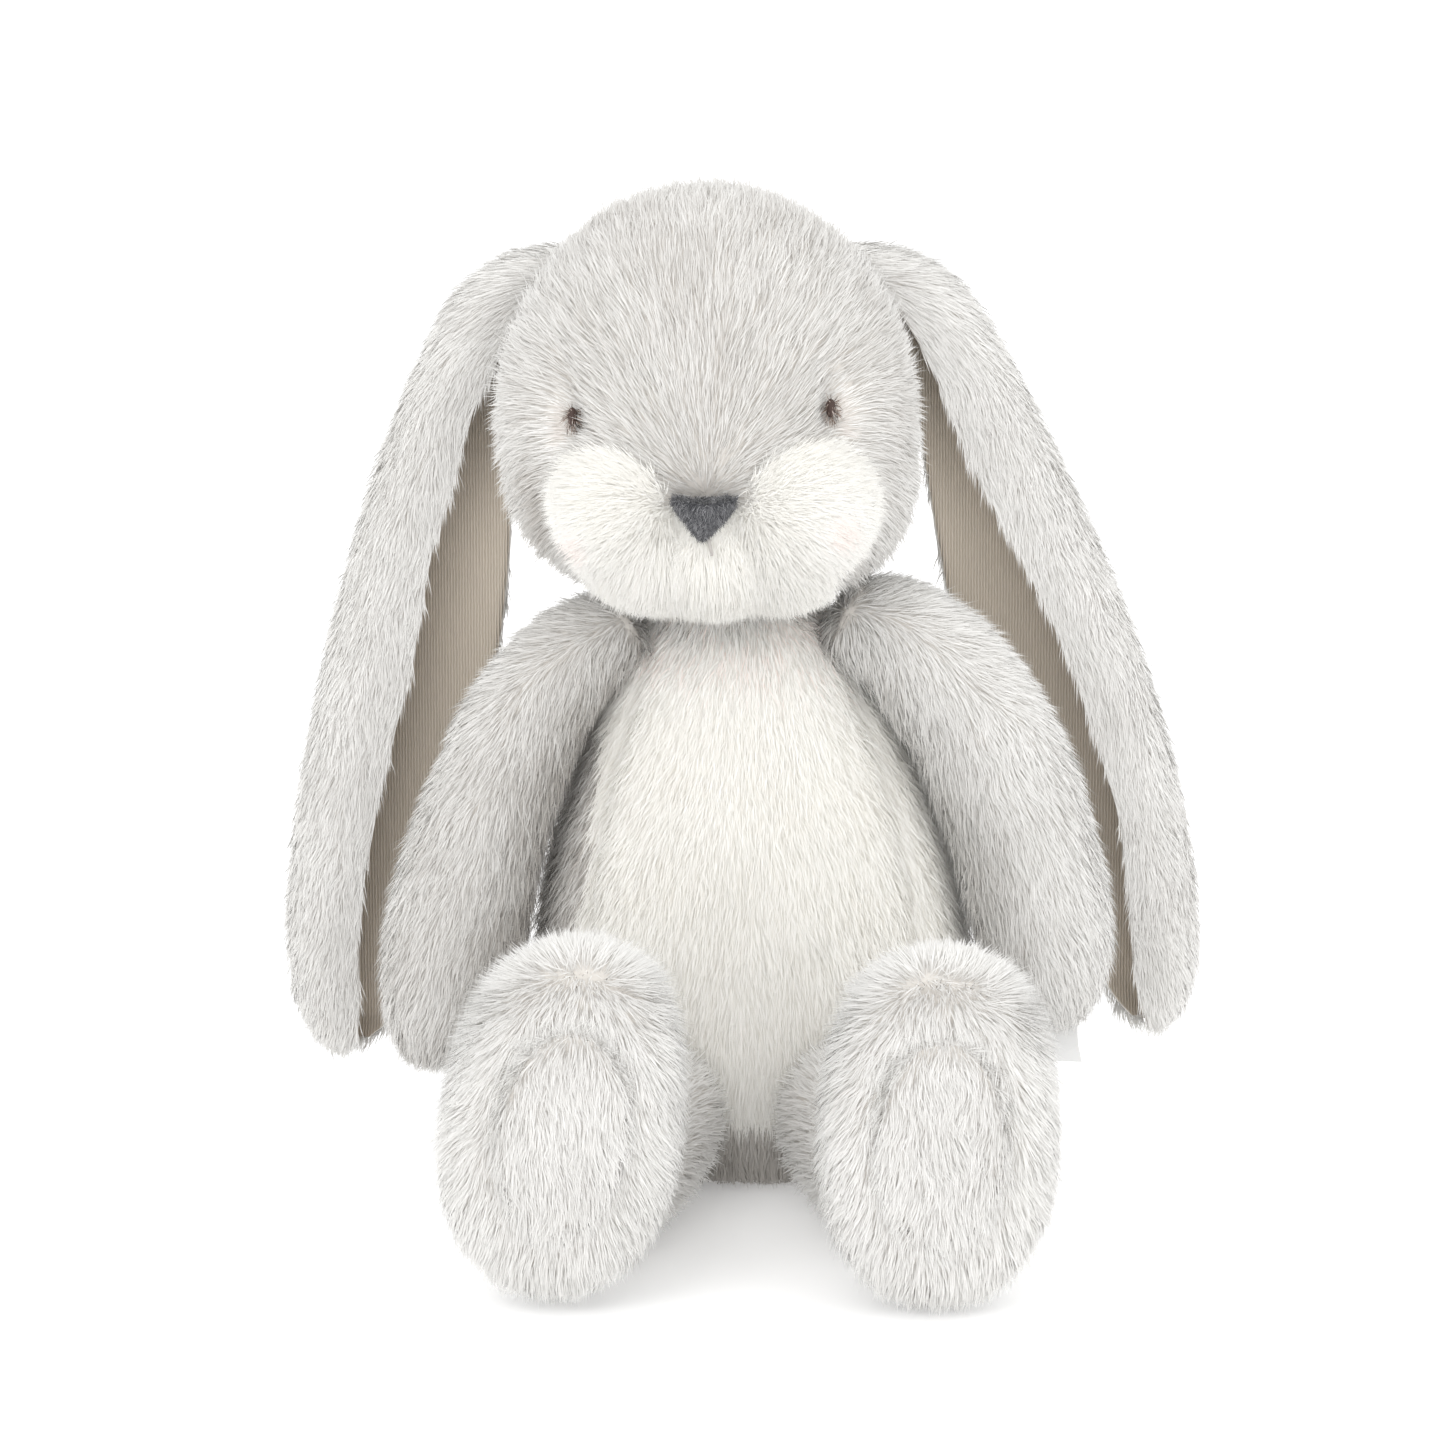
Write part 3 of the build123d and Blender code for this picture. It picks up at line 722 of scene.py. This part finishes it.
# ---------------------------------------------------------------- ears
# One row per height: z, near edge x, far edge x, fold edge x.
EAR = {
    "right": [(251.5, -38, -47, -38), (248.5, -45, -62, -46), (239, -53, -75, -57),
              (225, -59, -83, -65), (208, -62, -91, -73.5), (188, -63.5, -98.5, -79.5),
              (165, -64.5, -105.5, -86), (140, -67.5, -112, -90.5), (115, -72, -117.5, -97),
              (90, -78, -121.5, -102.5), (66, -85, -124, -106.5), (46, -92, -123, -107),
              (34, -98, -119, -107.5), (28, -105, -114, -109)],
    "left": [(252, 21, 30, 21), (249, 28, 45.5, 29), (240, 36, 58.5, 40), (223, 45, 70, 51),
             (206, 49, 79, 58.5), (188, 52, 88, 67), (166, 56, 98, 79), (142, 61, 107.5, 90),
             (117, 70, 115.5, 99), (92, 80, 121.5, 106), (70, 90, 125, 109),
             (52, 99, 125.5, 110.5), (40, 106, 122.5, 113), (34.5, 111, 118, 115)],
}
EAR_SEED = {"right": 72, "left": 71}
EAR_Y = 12.5
EAR_NV, EAR_NU = 110, 40
EAR_OUT, EAR_IN = 1.6, -0.6  # how far the outer and the lining lie from the middle sheet


def ear_rings(s, push, nv=EAR_NV, nu=EAR_NU):
    """Open rings from the near edge, round the back and far side, to the fold in front."""
    out = []
    for z, xn, xf, xe in curve_points(EAR[s], nv):
        slim = min(1.0, abs(xf - xn) / 20.0)
        ctrl = [(xn, EAR_Y + 4.5 * slim), (xn + 0.35 * (xf - xn), EAR_Y + 7.0 * slim),
                (xn + 0.75 * (xf - xn), EAR_Y + 6.0 * slim), (xf, EAR_Y + 0.5 * slim),
                (xf - 0.35 * (xf - xe), EAR_Y - 6.0 * slim), (xe, EAR_Y - 6.5 * slim)]
        out.append(np.column_stack([curve_points(ctrl, nu), np.full(nu, z)]))
    rings = np.array(out)
    if push:
        t = np.gradient(rings, axis=1)
        rings = rings + push * unit(np.stack([-t[..., 1], t[..., 0], np.zeros_like(t[..., 0])], -1))
    return rings


def ear_side(s):
    """+1 when the pushed side is outside the fold."""
    r0 = ear_rings(s, 0.0, 20, 20)
    r1 = ear_rings(s, 1.0, 20, 20)
    mid = r0.mean(axis=1, keepdims=True)
    grown = np.linalg.norm(r1 - mid, axis=-1).mean() > np.linalg.norm(r0 - mid, axis=-1).mean()
    return 1.0 if grown else -1.0


def face_towards(skin, rings):
    """Turn the skin's normals towards the rings."""
    if np.sum((rings.reshape(-1, 3) - skin.v) * skin.n) < 0:
        skin.flip()


lining_mat, lining_nt, lining = principled("beige_velour", (0.76, 0.71, 0.64), rough=0.9,
                                           sheen=0.3, spec=0.1)
place = lining_nt.nodes.new("ShaderNodeTexCoord")
ribs = lining_nt.nodes.new("ShaderNodeTexWave")
ribs.inputs["Scale"].default_value = 380.0
ribs.inputs["Distortion"].default_value = 1.5
ribs.inputs["Detail"].default_value = 2.0
ribs.bands_direction = "X"
lining_nt.links.new(place.outputs["Object"], ribs.inputs["Vector"])
rib_colour = ramp(lining_nt, [(0.0, (0.48, 0.41, 0.33)), (0.5, (0.585, 0.515, 0.43)),
                              (1.0, (0.66, 0.60, 0.52))])
lining_nt.links.new(ribs.outputs["Fac"], rib_colour.inputs[0])
lining_nt.links.new(rib_colour.outputs[0], lining.inputs["Base Color"])
bump = lining_nt.nodes.new("ShaderNodeBump")
bump.inputs["Strength"].default_value = 0.5
bump.inputs["Distance"].default_value = 0.0006
lining_nt.links.new(ribs.outputs["Fac"], bump.inputs["Height"])
lining_nt.links.new(bump.outputs["Normal"], lining.inputs["Normal"])

for s in SIDES:
    out = ear_side(s)
    outer = Skin(ear_rings(s, EAR_OUT * out), wrap=False)
    inner = Skin(ear_rings(s, EAR_IN * out), wrap=False)
    # the outer faces away from the fold, the lining into it
    face_towards(outer, ear_rings(s, (EAR_OUT + 1) * out))
    face_towards(inner, ear_rings(s, (EAR_IN - 1) * out))
    # one closed cloth body: outer sheet and lining sheet joined round the edge
    loop = np.concatenate([outer.v.reshape(EAR_NV, EAR_NU, 3),
                           inner.v.reshape(EAR_NV, EAR_NU, 3)[:, ::-1]], 1)
    shell = Skin(loop, top=loop[0].mean(0) + vec(0, 0, 1.0),
                 bottom=loop[-1].mean(0) - vec(0, 0, 1.0))
    if np.sum(outer.n[:EAR_NU] * shell.n[:EAR_NU]) < 0:
        shell.flip()
    cloth = shell.mesh("ear_cloth_" + s, "ear_" + s, grey_skin)
    cloth.data.materials.append(lining_mat)
    cols = 2 * EAR_NU
    mats = np.zeros(len(cloth.data.polygons), int)
    k = np.arange((EAR_NV - 1) * cols) % cols
    mats[:(EAR_NV - 1) * cols] = (k >= EAR_NU) & (k < cols - 1)
    cloth.data.polygons.foreach_set("material_index", mats)
    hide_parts("ear_outer_" + s, "ear_lining_" + s)

    def ear_flow(p, n, s=s):
        """Down the ear, but up and outwards at the root, where it meets the head."""
        f = np.tile(vec(SIGN[s] * 0.18, 0.0, -1.0), (len(p), 1))
        f = f + smooth(236, 249, p[:, 2])[:, None] * vec(SIGN[s] * 1.2, 0, 1.0)
        f[:, 0] += SIGN[s] * 1.2 * smooth(205, 245, p[:, 2])
        return f

    fur("ear_fur_" + s, "ear_" + s, GREY, outer, 44000, ear_flow, 7.4, 0.31, SLEEK, *COMBED,
        grey_tone, lambda p: np.where(p[:, 1] > 15, 0.6, 1.0), EAR_SEED[s])

# ---------------------------------------------------------------- nose, mouth, eyes, label
nose_mat, _, _ = principled("charcoal_velour", (0.095, 0.097, 0.104), rough=0.85, sheen=0.35,
                            spec=0.15)
eye_mat, _, _ = principled("brown_thread", (0.055, 0.032, 0.026), rough=0.55, spec=0.35)
thread_mat, _, _ = principled("grey_thread", (0.42, 0.40, 0.38), rough=0.8)
satin_mat, _, _ = principled("white_satin", (0.70, 0.70, 0.695), rough=0.45, spec=0.4)
NOSE_FUR = fur_material("charcoal_fur", [
    (0.0, (0.04, 0.04, 0.045)), (0.5, (0.13, 0.132, 0.14)), (0.8, (0.26, 0.26, 0.27)),
    (1.0, (0.32, 0.32, 0.33))], (0.7, 0.7, 0.7), (1, 1, 1))
EYE_FUR = fur_material("brown_fur", [
    (0.0, (0.10, 0.07, 0.055)), (0.4, (0.28, 0.22, 0.185)), (0.7, (0.55, 0.47, 0.42)),
    (1.0, (0.74, 0.68, 0.64))], (0.8, 0.8, 0.8), (1, 1, 1))


def on_head(x, z):
    """The point of the head skin seen from the front at x, z."""
    probe = np.stack([np.full(400, x), np.linspace(-80, -10, 400), np.full(400, z)], -1)
    d = unit(probe - HEAD)
    pts = HEAD + d * head_radius(d)[:, None]
    return pts[np.argmin((pts[:, 0] - x) ** 2 + (pts[:, 2] - z) ** 2)]


def speckle(middle, spread, seed):
    """A tone that varies from blade to blade."""
    return lambda p, n: middle + spread * np.random.default_rng(seed).normal(size=len(p))


NOSE_GRID = 26
NOSE_THICK = 6
uu, vv = np.meshgrid(np.linspace(-1, 1, NOSE_GRID), np.linspace(0, 1, NOSE_GRID), indexing="ij")
wide = 8.2 * (1 - vv) ** 0.85 + 0.6
nx = -9.6 + uu * wide - 0.4 * vv
nz = 194.8 - 10.2 * vv - 0.9 * (1 - uu**2) * (1 - vv)
ny = -62.3 + 3.2 * uu**2 * (1 - 0.3 * vv) + 2.2 * vv**2
nose_front = np.stack([nx, ny, nz], -1)
nose_back = nose_front + vec(0, NOSE_THICK, 0)
closed = np.concatenate([nose_front, nose_back[:, ::-1]], 1)
nose = Skin(closed, top=closed[0].mean(0), bottom=closed[-1].mean(0)).face_out()
nose_patch = nose.mesh("nose", "head", nose_mat)
nose_patch.visible_shadow = False
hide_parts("nose_patch")
fur("nose_pile", "head", NOSE_FUR, nose, 3600, down, 2.6, 0.22, (40, 14), 0.45, 0.4,
    speckle(0.52, 0.34, 3), lambda p: (p[:, 1] < -58) + TRACE, 81)

mouth = tube([(-9.0, -59.2, 184.5), (-8.6, -59.4, 182.0), (-8.2, -59.0, 179.5)],
             [0.45, 0.5, 0.4], 12, 10, 0)
stitch = mouth.mesh("mouth_thread", "head", thread_mat)
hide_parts("mouth_stitch")

for s in SIDES:
    e = on_head(EYE[s][0], EYE[s][2]) + vec(0, -4.3, 0)
    eye = ball_rings(e, ellipsoid(1.35, 2.0, 2.5), 24, 32)
    thread = eye.mesh("eye_thread_" + s, "head", eye_mat)
    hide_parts("eye_" + s)
    rim = ball_rings(e + vec(0, 0.6, -0.6), ellipsoid(1.7, 1.5, 3.1), 20, 30)
    fur("eye_pile_" + s, "head", EYE_FUR, rim, 170,
        lambda p, n, e=e: (p - e) * 0.35 + np.array([0, 0, -0.8]), 2.6, 0.2,
        (45, 20), 0.5, 0.3, speckle(0.5, 0.28, 5), None, 91)

# Three rings down the blank label, which hangs from the left hand.
LABEL = np.array([
    [(84.5, -14.4, 40), (93.5, -14.4, 39.6), (93.5, -13.8, 39.6), (84.5, -13.8, 40)],
    [(85.0, -14.6, 34), (94.0, -14.6, 33.5), (94.0, -14.0, 33.5), (85.0, -14.0, 34)],
    [(86.0, -15.6, 29.6), (95.0, -15.2, 29.0), (95.0, -14.6, 29.0), (86.0, -15.0, 29.6)]])
label_skin = Skin(LABEL, top=LABEL[0].mean(0), bottom=LABEL[1].mean(0)).face_out()
label = label_skin.mesh("blank_label", "arm_left", satin_mat, False)
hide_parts("side_label")

# ---------------------------------------------------------------- stage, light, camera
bpy.ops.mesh.primitive_plane_add(size=12, location=(0, 1.0, -0.0005))
floor = bpy.context.object
floor.name = "floor"
floor_mat, _, floor_shader = principled("floor_white", (0.97, 0.97, 0.97), rough=0.9, spec=0.05)
floor_shader.inputs["Emission Color"].default_value = (1, 1, 1, 1)
floor_shader.inputs["Emission Strength"].default_value = 0.22
floor.data.materials.append(floor_mat)

world = bpy.data.worlds.new("studio")
scene.world = world
world.use_nodes = True
sky = world.node_tree.nodes["Background"]
sky.inputs[0].default_value = (1.0, 1.0, 1.0, 1)
sky.inputs[1].default_value = 1.15


def area(name, at, look, size, power):
    """A square area light at a place in metres, aimed at another, with its power in watts."""
    d = bpy.data.lights.new(name, "AREA")
    d.energy = power
    d.size = size
    o = bpy.data.objects.new(name, d)
    scene.collection.objects.link(o)
    o.location = at
    o.rotation_euler = (Vector(look) - Vector(at)).to_track_quat("-Z", "Y").to_euler()


area("key", (-0.7, -1.3, 1.6), (0, 0, 0.12), 1.0, 9)
area("fill", (1.2, -1.1, 0.9), (0, 0, 0.12), 1.2, 4)
area("low_front", (0.0, -1.6, 0.45), (0, 0, 0.03), 0.9, 1.2)

CAMERA_AT = (-0.0056, -1.300, 0.400)
CAMERA_DOWN = 12.03  # degrees below level
cam_data = bpy.data.cameras.new("camera")
cam_data.sensor_width = 36
cam_data.lens = 120
cam = bpy.data.objects.new("camera", cam_data)
scene.collection.objects.link(cam)
cam.location = CAMERA_AT
cam.rotation_euler = (math.radians(90 - CAMERA_DOWN), 0, 0)
scene.camera = cam
scene.view_settings.view_transform = "Standard"
